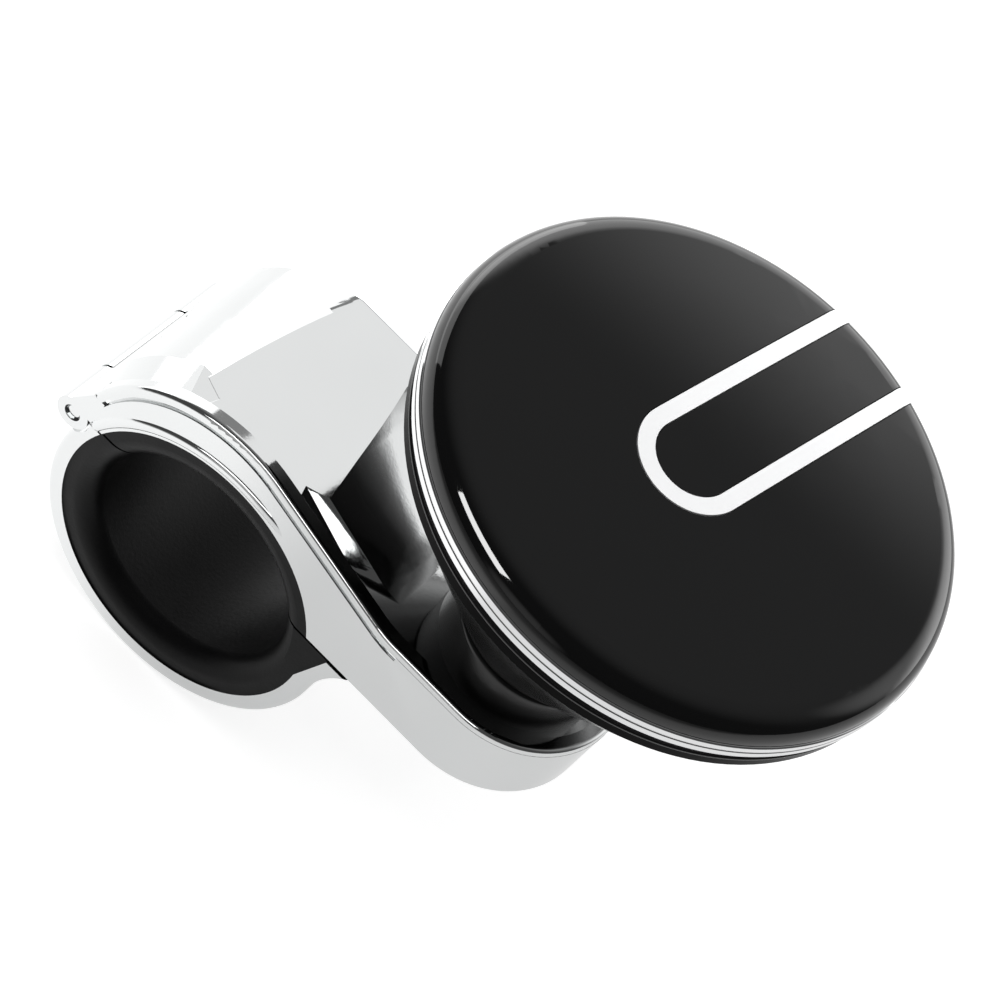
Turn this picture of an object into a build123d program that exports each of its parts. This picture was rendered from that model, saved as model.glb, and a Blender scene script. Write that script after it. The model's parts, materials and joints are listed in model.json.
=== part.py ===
from build123d import *
from math import asin, atan2, cos, radians, sin, sqrt
import os

# A spinner knob for a steering wheel. The origin is the centre of the rim's bore, Y runs along
# the rim, Z is the knob's axis direction and X points from the clamp to the knob.
os.makedirs("parts", exist_ok=True)

# Clearances
running_fit = 0.05
moving_gap = 0.3
assembly_gap = 0.1
thread_gap = 0.35

# Clamp
clamp_width = 24.2
rubber_bore_radius = 12.4
rubber_wall = 3.6
rubber_round = 2.3
rubber_recess = 0.2
split_height = 6.4
jaw_wall = 2.0
saddle_x = -1.6
saddle_z = 5.0
saddle_radius = 16.8
saddle_front_radius = 16.65
saddle_back_radius = 17.75
lip_ramp_end = 20.5
core_ramp_end = 17.0
channel_radius = 15.7
channel_ramp_end = 13.5
channel_width = 2.0
channel_slope_width = 1.4
channel_brink_radius = 17.6
ramp_blend = 9.0
facet_front_height = 19.0
facet_back_height = 22.3
lip_width = 1.7
lip_rise = 1.0
lip_round = 0.6
lip_groove_drop = 1.1
lip_groove_width = 0.5
lip_groove_depth = 0.45
arm_top = 16.0
arm_foot_round = 0.4
knob_x = 30.5
flare_reach = 20.5
jaw_edge_round = 0.6
liner_corner_reach = 1.7
liner_corner_start = 2.0

# Hinge
knuckle_radius = 2.0
knuckle_drop = 1.0
knuckle_web_height = 3.8
knuckle_web_inset = 0.5
jaw_knuckle_width = 11.4
jaw_wall_behind_knuckle = 0.9
hinge_pin_radius = 1.0
hinge_pin_inset = 0.3

# Clamp screw and its lug
lug_x = 23.0
lug_width = 11.0
lug_height = 5.6
lug_counterbore_depth = 1.2
screw_thread_radius = 2.0
screw_head_radius = 3.5
screw_head_height = 4.0
screw_socket_radius = 1.7
screw_socket_depth = 2.2
screw_engagement = 4.5
screw_tip_chamfer = 0.5
tapped_hole_depth = 6.0
tapped_hole_chamfer = 1.2
lock_washer_thickness = 0.8
lock_washer_wall = 1.2
lock_washer_slot = 0.8

# Spindle and the parts that hold it in the arm
spindle_shank_radius = 4.0
spindle_flat_width = 6.8
spindle_flange_height = 1.5
spindle_shoulder = 1.0
spindle_end_length = 1.2
spindle_chamfer = 0.5
spindle_screw_thread_radius = 2.5
spindle_screw_head_radius = 4.2
spindle_screw_head_height = 2.0
spindle_screw_length = 8.0
spindle_screw_slot_width = 1.0
spindle_screw_slot_depth = 1.0
spindle_washer_radius = 5.2
spindle_washer_thickness = 1.0
spindle_pocket_radius = 5.5

# Base collar between the arm and the knob
collar_radius = 9.3
collar_wall = 2.2
collar_height = 4.7
collar_round = 0.6

# Ball bearing
bearing_width = 7.0
race_wall = 2.1
race_edge_round = 0.3
race_groove_depth = 0.585
ball_radius = 1.985
ball_count = 7
cage_gap = 0.8
cage_height = 5.2
shield_thickness = 0.3
shield_seat_depth = 0.3
shield_seat_wall = 0.5
bearing_rise = 13.0

# Retaining ring and its washer
retaining_washer_thickness = 0.6
retaining_washer_set_in = 0.2
retaining_groove_depth = 0.4
retaining_ring_thickness = 0.8
retaining_ring_wall = 1.5
retaining_ring_opening = 2.6

# Plain bush at the knob's foot
bush_wall = 2.0
bush_length = 8.0

# Knob
knob_radius = 27.5
skirt_set_in = 0.3
cap_set_in = 0.2
skirt_height = 26.0
skirt_rim_height = 2.2
skirt_wall = 2.6
bearing_ledge = 2.0
hub_wall = 1.8
band_height = 1.8
band_wall = 1.6
band_round = 0.4
cap_side_height = 3.0
cap_edge_round = 2.85
cap_dome_rise = 0.5
cap_wall = 2.4
cap_lip_depth = 2.6
cap_lip_wall = 1.5

# Inlay
inlay_half_width = 5.78
inlay_strip_width = 1.76
inlay_centre_shift = -2.1
inlay_side_shift = 0.54
inlay_angle = 79.5
inlay_depth = 1.0
inlay_proud = 0.05
inlay_margin = 0.12

# Screws that hold the cap
cap_screw_count = 3
cap_screw_set_in = 8.0
cap_screw_radius = 1.1
cap_screw_head_radius = 2.2
cap_screw_head_height = 1.6
cap_screw_grip = 5.0
cap_boss_radius = 2.6
cap_boss_drop = 3.8
cap_screw_web = 2.2
cap_tower_wall = 1.3
cap_screw_slot_width = 0.7
cap_screw_slot_depth = 0.8

# Places worked out from the sizes above
half_width = clamp_width / 2
band_radius = knob_radius
skirt_rim_radius = knob_radius - skirt_set_in
cap_radius = knob_radius - cap_set_in
cap_screw_circle = knob_radius - cap_screw_set_in
opening_radius = rubber_bore_radius + rubber_wall
jaw_radius = opening_radius + jaw_wall
jaw_top = split_height - moving_gap
hinge_z = split_height - knuckle_drop
hinge_distance = opening_radius + jaw_wall_behind_knuckle + knuckle_radius + moving_gap
hinge_x = -sqrt(hinge_distance ** 2 - hinge_z ** 2)
arm_end = knob_x + half_width
lug_bottom = jaw_top - lug_height
lug_seat = lug_bottom + lug_counterbore_depth
screw_head_top = lug_seat - running_fit - lock_washer_thickness
screw_tip = split_height + screw_engagement
arm_floor = arm_top - lip_rise
groove_top_radius = saddle_radius - lip_groove_drop
groove_top = arm_top - lip_groove_drop
groove_foot = groove_top - lip_groove_width
spindle_journal_radius = spindle_shank_radius + spindle_shoulder
spindle_flange_radius = collar_radius - collar_wall - assembly_gap
skirt_foot_radius = collar_radius
inner_land_radius = spindle_shank_radius + race_wall
outer_land_radius = inner_land_radius + 2 * (ball_radius - race_groove_depth)
bearing_pitch_radius = (inner_land_radius + outer_land_radius) / 2
bearing_outer_radius = outer_land_radius + race_wall
hub_radius = bearing_outer_radius + hub_wall
skirt_relief_radius = bearing_outer_radius - bearing_ledge
cage_wall = outer_land_radius - inner_land_radius - 2 * cage_gap
retaining_washer_radius = inner_land_radius - retaining_washer_set_in
spindle_seat = split_height + spindle_screw_head_height + spindle_washer_thickness
spindle_foot = spindle_seat + moving_gap
flange_top = arm_floor + spindle_flange_height
collar_top = arm_top + collar_height
skirt_foot = collar_top + moving_gap
bearing_base = skirt_foot + bearing_rise
bearing_top = bearing_base + bearing_width
bearing_middle = bearing_base + bearing_width / 2
shield_offset = shield_seat_depth + shield_thickness
ring_base = bearing_top + retaining_washer_thickness
ring_top = ring_base + retaining_ring_thickness
spindle_top = ring_top + spindle_end_length
bush_base = skirt_foot + assembly_gap
bush_top = bush_base + bush_length
bush_radius = spindle_journal_radius + running_fit + bush_wall
groove_radius = ball_radius + running_fit
skirt_rim_base = skirt_foot + skirt_height
skirt_top = skirt_rim_base + skirt_rim_height
band_top = skirt_top + band_height
lip_radius = band_radius - band_wall - assembly_gap
cap_foot = band_top - cap_lip_depth
cap_shoulder = band_top + cap_side_height
cap_ceiling = cap_shoulder - cap_wall
boss_foot = skirt_top - cap_boss_drop
tower_top = boss_foot - assembly_gap
cap_screw_seat = tower_top - cap_screw_web
tower_radius = cap_screw_head_radius + moving_gap + cap_tower_wall
cavity_floor = skirt_foot + skirt_height * (
    (hub_radius + skirt_wall - skirt_foot_radius) / (skirt_rim_radius - skirt_foot_radius)
)
reach = 150.0
across_clamp = Plane.XZ.offset(half_width)
behind_clamp = Plane.XZ.offset(-half_width)
lip_back = Plane.XZ.offset(half_width - lip_width)
inlay_direction = (cos(radians(inlay_angle)), sin(radians(inlay_angle)), 0)
liner_corner = (
    (opening_radius * cos(radians(liner_corner_start)), opening_radius * sin(radians(liner_corner_start))),
    (opening_radius + liner_corner_reach, jaw_top),
    (0, jaw_top),
)
knob_axis = Axis((knob_x, 0, 0), (0, 0, 1))
side_plane = Plane((knob_x, 0, 0), x_dir=(0, -1, 0), z_dir=(-1, 0, 0))


def level(height):
    """A plane square to the knob's axis, at a height above the rim's centre."""
    return Plane((knob_x, 0, height))


def finish(builder, name):
    """Labels a piece and writes it under the same name."""
    builder.part.label = name
    export_step(builder.part, f"parts/{name}.step")


def upper_touch_point(radius, point_x, point_z):
    """Where a line from a point touches a circle about the saddle's centre on its upper side."""
    across = point_x - saddle_x
    up = point_z - saddle_z
    distance = sqrt(across ** 2 + up ** 2)
    turn = atan2(-up, -across) - asin(radius / distance)
    length = sqrt(distance ** 2 - radius ** 2)
    return (point_x + length * cos(turn), point_z + length * sin(turn))


def side_outline(plane, radius, ramp_end, top):
    """The side outline of saddle, ramp and arm above the split, drawn on a plane across Y."""
    with BuildSketch(plane) as outline:
        with Locations((saddle_x, saddle_z)):
            Circle(radius)
        with BuildLine():
            ramp = Polyline(upper_touch_point(radius, ramp_end, top), (ramp_end, top), (arm_end, top))
            Polyline(ramp @ 1, (arm_end, split_height), (saddle_x, split_height), ramp @ 0)
        make_face()
        with Locations((0, split_height)):
            Rectangle(reach, reach, align=(Align.CENTER, Align.MAX), mode=Mode.SUBTRACT)
        fillet(outline.vertices().sort_by_distance((ramp_end, top, 0))[0], ramp_blend)
    return outline.sketch


def turned_ring(inner, outer, base, top):
    """A plain ring about the knob's axis."""
    with BuildPart() as ring:
        with BuildSketch(level(base)):
            Circle(outer)
            Circle(inner, mode=Mode.SUBTRACT)
        extrude(amount=top - base)
    return ring


# Bed of the channel between the lip and the saddle's back, with its sloping side
channel_foot = Plane.XZ.offset(half_width - lip_width - channel_width)
channel_brink = Plane.XZ.offset(half_width - lip_width - channel_width - channel_slope_width)
with BuildPart() as channel_bed:
    extrude(side_outline(lip_back, channel_radius, channel_ramp_end, arm_floor), amount=-channel_width)
    add(side_outline(channel_foot, channel_radius, channel_ramp_end, arm_floor))
    add(side_outline(channel_brink, channel_brink_radius, core_ramp_end, arm_floor))
    loft()

# Saddle and arm without their lip, with a facet on the saddle's back that drops towards the front
with BuildPart() as saddle_core:
    add(side_outline(across_clamp, saddle_front_radius, core_ramp_end, arm_floor))
    add(side_outline(behind_clamp, saddle_back_radius, core_ramp_end, arm_floor))
    loft()
    with BuildSketch(Plane.YZ.offset(-reach / 2)):
        with BuildLine():
            Polyline(
                (-half_width, facet_front_height),
                (half_width, facet_back_height),
                (half_width, reach),
                (-half_width, reach),
                close=True,
            )
        make_face()
    extrude(amount=reach, mode=Mode.SUBTRACT)

with BuildPart() as channel_part:
    add(channel_bed.part)
    add(saddle_core.part, mode=Mode.INTERSECT)

# Fine groove that sets the lip off from the front face, the back face and the round end
with BuildPart() as lip_groove:
    for face_plane, depth in ((across_clamp, -lip_groove_depth), (behind_clamp, lip_groove_depth)):
        extrude(side_outline(face_plane, groove_top_radius, lip_ramp_end, groove_top), amount=depth)
        extrude(
            side_outline(face_plane, groove_top_radius - lip_groove_width, lip_ramp_end, groove_foot),
            amount=depth,
            mode=Mode.SUBTRACT,
        )
    with BuildSketch(Plane.XY):
        Rectangle(reach, reach, align=(Align.MAX, Align.CENTER))
        Rectangle(knob_x, reach, align=(Align.MIN, Align.CENTER))
    extrude(amount=reach, mode=Mode.INTERSECT)
    with BuildSketch(Plane.XY.offset(groove_foot)) as groove_end:
        with Locations((knob_x, 0)):
            Circle(half_width)
            Circle(half_width - lip_groove_depth, mode=Mode.SUBTRACT)
        Rectangle(reach, reach, align=(Align.MAX, Align.CENTER), mode=Mode.SUBTRACT)
        Rectangle(knob_x, reach, align=(Align.MIN, Align.CENTER), mode=Mode.SUBTRACT)
    extrude(amount=lip_groove_width)

# Clamp body: saddle, arm and round end are one casting
with BuildPart() as clamp_body:
    add(saddle_core.part)
    with BuildSketch(channel_brink):
        Rectangle(reach, reach)
    extrude(amount=reach, mode=Mode.SUBTRACT)
    add(channel_part.part)
    # A lip stands along the front and runs round the arm's end to the back
    extrude(side_outline(across_clamp, saddle_radius, lip_ramp_end, arm_top), amount=-lip_width)
    extrude(side_outline(behind_clamp, saddle_radius, lip_ramp_end, arm_top), amount=lip_width)
    with BuildSketch(Plane.XY.offset(split_height)):
        with Locations((knob_x, 0)):
            Circle(half_width)
            Circle(half_width - lip_width, mode=Mode.SUBTRACT)
        Rectangle(reach, reach, align=(Align.MAX, Align.CENTER), mode=Mode.SUBTRACT)
        Rectangle(knob_x, reach, align=(Align.MIN, Align.CENTER), mode=Mode.SUBTRACT)
    extrude(amount=arm_top - split_height)
    with BuildSketch(Plane.XY):
        Rectangle(reach, clamp_width, align=(Align.MAX, Align.CENTER))
        Rectangle(knob_x, clamp_width, align=(Align.MIN, Align.CENTER))
        with Locations((knob_x, 0)):
            Circle(half_width)
    extrude(amount=reach, mode=Mode.INTERSECT)
    fillet(
        clamp_body.edges().filter_by(
            lambda edge: edge.center().Z > split_height + lip_width
            and (
                abs(edge.center().Y) > half_width - running_fit
                and edge.center().X < knob_x - lip_round
                or edge.center().X > arm_end - running_fit
            )
        ),
        lip_round,
    )
    add(lip_groove.part, mode=Mode.SUBTRACT)
    # Two outer knuckles of the hinge
    with BuildSketch(across_clamp) as knuckle_side:
        with Locations((hinge_x, hinge_z)):
            Circle(knuckle_radius)
        with BuildLine():
            Polyline(
                (hinge_x - knuckle_radius, hinge_z),
                (-jaw_radius + knuckle_web_inset, split_height + knuckle_web_height),
                (-opening_radius, split_height + knuckle_web_height),
                (-opening_radius, split_height),
                (hinge_x + knuckle_radius * cos(radians(30)), split_height),
                (hinge_x, hinge_z),
                close=True,
            )
        make_face()
    extrude(amount=-clamp_width)
    with BuildSketch(across_clamp):
        Circle(opening_radius)
    extrude(amount=-clamp_width, mode=Mode.SUBTRACT)
    fillet(
        clamp_body.edges().filter_by(
            lambda edge: edge.bounding_box().max.Z < split_height + running_fit
            and edge.bounding_box().max.X > arm_end - running_fit
        ),
        arm_foot_round,
    )
    with BuildSketch(Plane.XZ):
        with Locations((hinge_x, hinge_z)):
            Circle(knuckle_radius + moving_gap)
    extrude(amount=jaw_knuckle_width / 2 + moving_gap, both=True, mode=Mode.SUBTRACT)
    with BuildSketch(across_clamp):
        with Locations((hinge_x, hinge_z)):
            Circle(hinge_pin_radius)
    extrude(amount=-clamp_width, mode=Mode.SUBTRACT)
    # Keyed hole for the spindle, pocket for its screw and washer
    with BuildSketch(level(split_height)):
        Circle(spindle_shank_radius + running_fit)
        Rectangle(spindle_flat_width + 2 * running_fit, reach, mode=Mode.INTERSECT)
    extrude(amount=arm_top - split_height, mode=Mode.SUBTRACT)
    with BuildSketch(level(split_height)):
        Circle(spindle_pocket_radius)
    extrude(amount=spindle_seat - split_height, mode=Mode.SUBTRACT)
    # Hole for the clamp screw, widened at its mouth
    with BuildSketch(Plane((lug_x, 0, split_height))):
        Circle(screw_thread_radius + thread_gap)
    extrude(amount=tapped_hole_depth, mode=Mode.SUBTRACT)
    with BuildSketch(Plane((lug_x, 0, split_height))):
        Circle(screw_thread_radius + thread_gap + tapped_hole_chamfer)
    extrude(amount=tapped_hole_chamfer, taper=45, mode=Mode.SUBTRACT)
finish(clamp_body, "clamp_body")

# Clamp jaw: the hinged lower half with its knuckle and the lug for the screw
with BuildPart() as clamp_jaw:
    with BuildSketch(across_clamp) as jaw_outline:
        Circle(jaw_radius)
        with BuildLine():
            flare = TangentArc((jaw_radius, 0), (flare_reach, jaw_top), tangent=(0, 1))
            Polyline(flare @ 1, (0, jaw_top), (0, 0), flare @ 0)
        make_face()
        with Locations((0, jaw_top)):
            Rectangle(reach, reach, align=(Align.CENTER, Align.MIN), mode=Mode.SUBTRACT)
    extrude(amount=-clamp_width)
    fillet(clamp_jaw.edges().filter_by(GeomType.CIRCLE), jaw_edge_round)
    with BuildSketch(across_clamp):
        with Locations((hinge_x, hinge_z)):
            Circle(knuckle_radius + moving_gap)
    extrude(amount=-clamp_width, mode=Mode.SUBTRACT)
    with BuildSketch(Plane.XZ):
        with BuildLine():
            Polyline(
                (hinge_x, jaw_top),
                (-opening_radius, jaw_top),
                (-opening_radius, hinge_z - knuckle_radius),
                (hinge_x, hinge_z - knuckle_radius),
                close=True,
            )
        make_face()
        with Locations((hinge_x, hinge_z)):
            Circle(knuckle_radius)
    extrude(amount=jaw_knuckle_width / 2, both=True)
    with BuildSketch(Plane((0, 0, jaw_top))):
        Rectangle(lug_x, lug_width, align=(Align.MIN, Align.CENTER))
        with Locations((lug_x, 0)):
            Circle(lug_width / 2)
    extrude(amount=-lug_height)
    with BuildSketch(across_clamp):
        Circle(opening_radius)
        Polygon(*liner_corner, align=None)
    extrude(amount=-clamp_width, mode=Mode.SUBTRACT)
    with BuildSketch(Plane.XZ):
        with Locations((hinge_x, hinge_z)):
            Circle(hinge_pin_radius + running_fit)
    extrude(amount=half_width, both=True, mode=Mode.SUBTRACT)
    with Locations(Plane((lug_x, 0, lug_bottom), z_dir=(0, 0, -1))):
        CounterBoreHole(
            radius=screw_thread_radius + thread_gap,
            counter_bore_radius=screw_head_radius + moving_gap,
            counter_bore_depth=lug_counterbore_depth,
        )
finish(clamp_jaw, "clamp_jaw")

# Hinge pin
with BuildPart() as hinge_pin:
    with BuildSketch(Plane.XZ):
        with Locations((hinge_x, hinge_z)):
            Circle(hinge_pin_radius)
    extrude(amount=half_width - hinge_pin_inset, both=True)
    chamfer(hinge_pin.edges(), hinge_pin_inset)
finish(hinge_pin, "hinge_pin")

# Rubber liners: one ring with rounded mouths, split between body and jaw
with BuildPart() as liner_ring:
    with BuildSketch(Plane.XZ):
        Circle(opening_radius)
        Circle(rubber_bore_radius, mode=Mode.SUBTRACT)
    extrude(amount=half_width - rubber_recess, both=True)
    fillet(liner_ring.edges().filter_by(GeomType.CIRCLE).group_by(SortBy.RADIUS)[0], rubber_round)

with BuildPart() as upper_liner:
    add(liner_ring.part)
    with BuildSketch(Plane((0, 0, split_height))):
        Rectangle(reach, reach)
    extrude(amount=reach, mode=Mode.INTERSECT)
finish(upper_liner, "upper_liner")

with BuildPart() as lower_liner:
    add(liner_ring.part)
    with BuildSketch(Plane.XZ):
        Polygon(*liner_corner, align=None)
        Circle(opening_radius - rubber_wall / 2, mode=Mode.SUBTRACT)
    extrude(amount=half_width - rubber_recess, both=True)
    with BuildSketch(Plane((0, 0, jaw_top))):
        Rectangle(reach, reach)
    extrude(amount=-reach, mode=Mode.INTERSECT)
finish(lower_liner, "lower_liner")

# Clamp screw with a hexagon socket
with BuildPart() as clamp_screw:
    with BuildSketch(Plane((lug_x, 0, screw_head_top - screw_head_height))):
        Circle(screw_head_radius)
    extrude(amount=screw_head_height)
    chamfer(clamp_screw.edges().sort_by(Axis.Z)[0], screw_tip_chamfer)
    with BuildSketch(Plane((lug_x, 0, screw_head_top))):
        Circle(screw_thread_radius)
    extrude(amount=screw_tip - screw_head_top)
    chamfer(clamp_screw.edges().sort_by(Axis.Z)[-1], screw_tip_chamfer)
    with BuildSketch(Plane((lug_x, 0, screw_head_top - screw_head_height))):
        RegularPolygon(screw_socket_radius, 6)
    extrude(amount=screw_socket_depth, mode=Mode.SUBTRACT)
finish(clamp_screw, "clamp_screw")

# Split lock washer under the screw's head
with BuildPart() as lock_washer:
    with BuildSketch(Plane((lug_x, 0, screw_head_top))):
        Circle(screw_thread_radius + assembly_gap + lock_washer_wall)
        Circle(screw_thread_radius + assembly_gap, mode=Mode.SUBTRACT)
        Rectangle(reach, lock_washer_slot, align=(Align.MIN, Align.CENTER), mode=Mode.SUBTRACT)
    extrude(amount=lock_washer_thickness)
finish(lock_washer, "lock_washer")

# Spindle: keyed foot, flange, journal and the seat of the bearing
with BuildPart() as spindle:
    with BuildSketch(level(spindle_foot)):
        Circle(spindle_shank_radius)
        Rectangle(spindle_flat_width, reach, mode=Mode.INTERSECT)
    extrude(amount=arm_floor - spindle_foot)
    with BuildSketch(level(arm_floor)):
        Circle(spindle_flange_radius)
    extrude(amount=spindle_flange_height)
    with BuildSketch(level(flange_top)):
        Circle(spindle_journal_radius)
    extrude(amount=bearing_base - flange_top)
    with BuildSketch(level(bearing_base)):
        Circle(spindle_shank_radius)
    extrude(amount=spindle_top - bearing_base)
    chamfer(spindle.edges().sort_by(Axis.Z)[-1], spindle_chamfer)
    with BuildSketch(level(ring_base)):
        Circle(spindle_shank_radius)
        Circle(spindle_shank_radius - retaining_groove_depth, mode=Mode.SUBTRACT)
    extrude(amount=retaining_ring_thickness, mode=Mode.SUBTRACT)
    with BuildSketch(level(spindle_foot)):
        Circle(spindle_screw_thread_radius)
    extrude(amount=spindle_screw_length, mode=Mode.SUBTRACT)
finish(spindle, "spindle")

# Spindle screw with a slotted head, and its washer
with BuildPart() as spindle_screw:
    with BuildSketch(level(split_height)):
        Circle(spindle_screw_head_radius)
    extrude(amount=spindle_screw_head_height)
    chamfer(spindle_screw.edges().sort_by(Axis.Z)[0], screw_tip_chamfer)
    with BuildSketch(level(split_height + spindle_screw_head_height)):
        Circle(spindle_screw_thread_radius)
    extrude(amount=spindle_screw_length)
    chamfer(spindle_screw.edges().sort_by(Axis.Z)[-1], screw_tip_chamfer)
    with BuildSketch(level(split_height)):
        Rectangle(reach, spindle_screw_slot_width)
    extrude(amount=spindle_screw_slot_depth, mode=Mode.SUBTRACT)
finish(spindle_screw, "spindle_screw")

spindle_washer = turned_ring(
    spindle_screw_thread_radius + assembly_gap,
    spindle_washer_radius,
    spindle_seat - spindle_washer_thickness,
    spindle_seat,
)
finish(spindle_washer, "spindle_washer")

# Base collar: hides the spindle's flange
with BuildPart() as base_collar:
    with BuildSketch(level(arm_floor)):
        Circle(collar_radius)
    extrude(amount=collar_top - arm_floor)
    fillet(base_collar.edges().sort_by(Axis.Z)[-1], collar_round)
    with BuildSketch(level(arm_floor)):
        Circle(spindle_flange_radius + assembly_gap)
    extrude(amount=spindle_flange_height, mode=Mode.SUBTRACT)
    with BuildSketch(level(arm_floor)):
        Circle(spindle_journal_radius + assembly_gap)
    extrude(amount=collar_top - arm_floor, mode=Mode.SUBTRACT)
finish(base_collar, "base_collar")

# Ball bearing: two races with a ball groove
with BuildPart() as bearing_inner_race:
    add(turned_ring(spindle_shank_radius, inner_land_radius, bearing_base, bearing_top).part)
    fillet(
        bearing_inner_race.edges().filter_by(GeomType.CIRCLE).group_by(SortBy.RADIUS)[-1],
        race_edge_round,
    )
    with Locations((knob_x, 0, bearing_middle)):
        Torus(bearing_pitch_radius, groove_radius, mode=Mode.SUBTRACT)
finish(bearing_inner_race, "bearing_inner_race")

with BuildPart() as bearing_outer_race:
    add(turned_ring(outer_land_radius, bearing_outer_radius, bearing_base, bearing_top).part)
    fillet(
        bearing_outer_race.edges().filter_by(GeomType.CIRCLE).group_by(SortBy.RADIUS)[-1],
        race_edge_round,
    )
    with Locations((knob_x, 0, bearing_middle)):
        Torus(bearing_pitch_radius, groove_radius, mode=Mode.SUBTRACT)
    with BuildSketch(level(bearing_base), level(bearing_top - shield_offset)):
        Circle(outer_land_radius + shield_seat_wall)
    extrude(amount=shield_offset, mode=Mode.SUBTRACT)
finish(bearing_outer_race, "bearing_outer_race")

# Balls
with BuildPart() as bearing_balls:
    with Locations(level(bearing_middle)):
        with PolarLocations(bearing_pitch_radius, ball_count):
            Sphere(ball_radius)
finish(bearing_balls, "bearing_balls")

# Cage with a pocket for each ball
with BuildPart() as bearing_cage:
    with BuildSketch(level(bearing_middle)):
        Circle(bearing_pitch_radius + cage_wall / 2)
        Circle(bearing_pitch_radius - cage_wall / 2, mode=Mode.SUBTRACT)
    extrude(amount=cage_height / 2, both=True)
    with Locations(level(bearing_middle)):
        with PolarLocations(bearing_pitch_radius, ball_count):
            Cylinder(groove_radius, 2 * cage_wall, rotation=(0, 90, 0), mode=Mode.SUBTRACT)
finish(bearing_cage, "bearing_cage")

# Shields, seated in the outer race
lower_shield = turned_ring(
    inner_land_radius + moving_gap,
    outer_land_radius + shield_seat_wall,
    bearing_base + shield_seat_depth,
    bearing_base + shield_offset,
)
finish(lower_shield, "lower_shield")

upper_shield = turned_ring(
    inner_land_radius + moving_gap,
    outer_land_radius + shield_seat_wall,
    bearing_top - shield_offset,
    bearing_top - shield_seat_depth,
)
finish(upper_shield, "upper_shield")

# Washer and ring that keep the bearing on the spindle
retaining_washer = turned_ring(
    spindle_shank_radius + running_fit, retaining_washer_radius, bearing_top, ring_base
)
finish(retaining_washer, "retaining_washer")

with BuildPart() as retaining_ring:
    with BuildSketch(level(ring_base)):
        Circle(spindle_shank_radius - retaining_groove_depth + retaining_ring_wall)
        Circle(spindle_shank_radius - retaining_groove_depth, mode=Mode.SUBTRACT)
        Rectangle(reach, retaining_ring_opening, align=(Align.MIN, Align.CENTER), mode=Mode.SUBTRACT)
    extrude(amount=retaining_ring_thickness)
finish(retaining_ring, "retaining_ring")

# Plain bush in the knob's foot
lower_bush = turned_ring(spindle_journal_radius + running_fit, bush_radius, bush_base, bush_top)
finish(lower_bush, "lower_bush")

# Inner cavity of the skirt, which leaves the bearing's hub and the screw towers standing
with BuildPart() as skirt_cavity:
    with BuildSketch(side_plane):
        with BuildLine():
            Polyline(
                (0, cavity_floor),
                (hub_radius, cavity_floor),
                (skirt_rim_radius - skirt_wall, skirt_rim_base),
                (skirt_rim_radius - skirt_wall, cap_foot - assembly_gap),
                (lip_radius + assembly_gap, cap_foot - assembly_gap),
                (lip_radius + assembly_gap, skirt_top),
                (0, skirt_top),
                close=True,
            )
        make_face()
    revolve(axis=knob_axis)
    with BuildSketch(level(cavity_floor)):
        Circle(hub_radius)
    extrude(amount=bearing_top - cavity_floor, mode=Mode.SUBTRACT)
    with BuildSketch(level(cavity_floor)):
        with PolarLocations(cap_screw_circle, cap_screw_count, start_angle=90):
            Circle(tower_radius)
    extrude(amount=tower_top - cavity_floor, mode=Mode.SUBTRACT)

# Knob skirt: the black cone with its rim
with BuildPart() as knob_skirt:
    with BuildSketch(side_plane):
        with BuildLine():
            Polyline(
                (0, skirt_foot),
                (skirt_foot_radius, skirt_foot),
                (skirt_rim_radius, skirt_rim_base),
                (skirt_rim_radius, skirt_top),
                (0, skirt_top),
                close=True,
            )
        make_face()
    revolve(axis=knob_axis)
    add(skirt_cavity.part, mode=Mode.SUBTRACT)
    with BuildSketch(level(skirt_foot)):
        Circle(bush_radius)
    extrude(amount=bearing_base - skirt_foot, mode=Mode.SUBTRACT)
    with BuildSketch(level(bush_top)):
        Circle(skirt_relief_radius)
    extrude(amount=bearing_base - bush_top, mode=Mode.SUBTRACT)
    with BuildSketch(level(bearing_base)):
        Circle(bearing_outer_radius)
    extrude(amount=bearing_width, mode=Mode.SUBTRACT)
    with BuildSketch(level(skirt_foot)):
        with PolarLocations(cap_screw_circle, cap_screw_count, start_angle=90):
            Circle(cap_screw_head_radius + moving_gap)
    extrude(amount=cap_screw_seat - skirt_foot, mode=Mode.SUBTRACT)
    with BuildSketch(level(skirt_foot)):
        with PolarLocations(cap_screw_circle, cap_screw_count, start_angle=90):
            Circle(cap_screw_radius + assembly_gap)
    extrude(amount=tower_top - skirt_foot, mode=Mode.SUBTRACT)
finish(knob_skirt, "knob_skirt")

# Chrome band between skirt and cap
with BuildPart() as chrome_band:
    add(turned_ring(band_radius - band_wall, band_radius, skirt_top, band_top).part)
    fillet(chrome_band.edges().filter_by(GeomType.CIRCLE).group_by(SortBy.RADIUS)[-1], band_round)
finish(chrome_band, "chrome_band")

# Shape of the cap's outside, and of the inlay that stands a trace proud of it
dome_edge = cap_radius - cap_edge_round
crown_radius = (dome_edge ** 2 + cap_dome_rise ** 2) / (2 * cap_dome_rise)
crown_sag = crown_radius - sqrt(crown_radius ** 2 - (dome_edge / 2) ** 2)


def dome(rise):
    """The cap's outer form as a full body, raised a little for the inlay."""
    with BuildPart() as form:
        with BuildSketch(side_plane):
            with BuildLine():
                foot = Line((0, band_top), (cap_radius, band_top))
                side = Line(foot @ 1, (cap_radius, cap_shoulder - cap_edge_round + rise))
                edge = TangentArc(side @ 1, (dome_edge, cap_shoulder + rise), tangent=(0, 1))
                crown = ThreePointArc(
                    edge @ 1,
                    (dome_edge / 2, cap_shoulder + rise + cap_dome_rise - crown_sag),
                    (0, cap_shoulder + rise + cap_dome_rise),
                )
                Line(crown @ 1, foot @ 0)
            make_face()
        revolve(axis=knob_axis)
    return form


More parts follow.
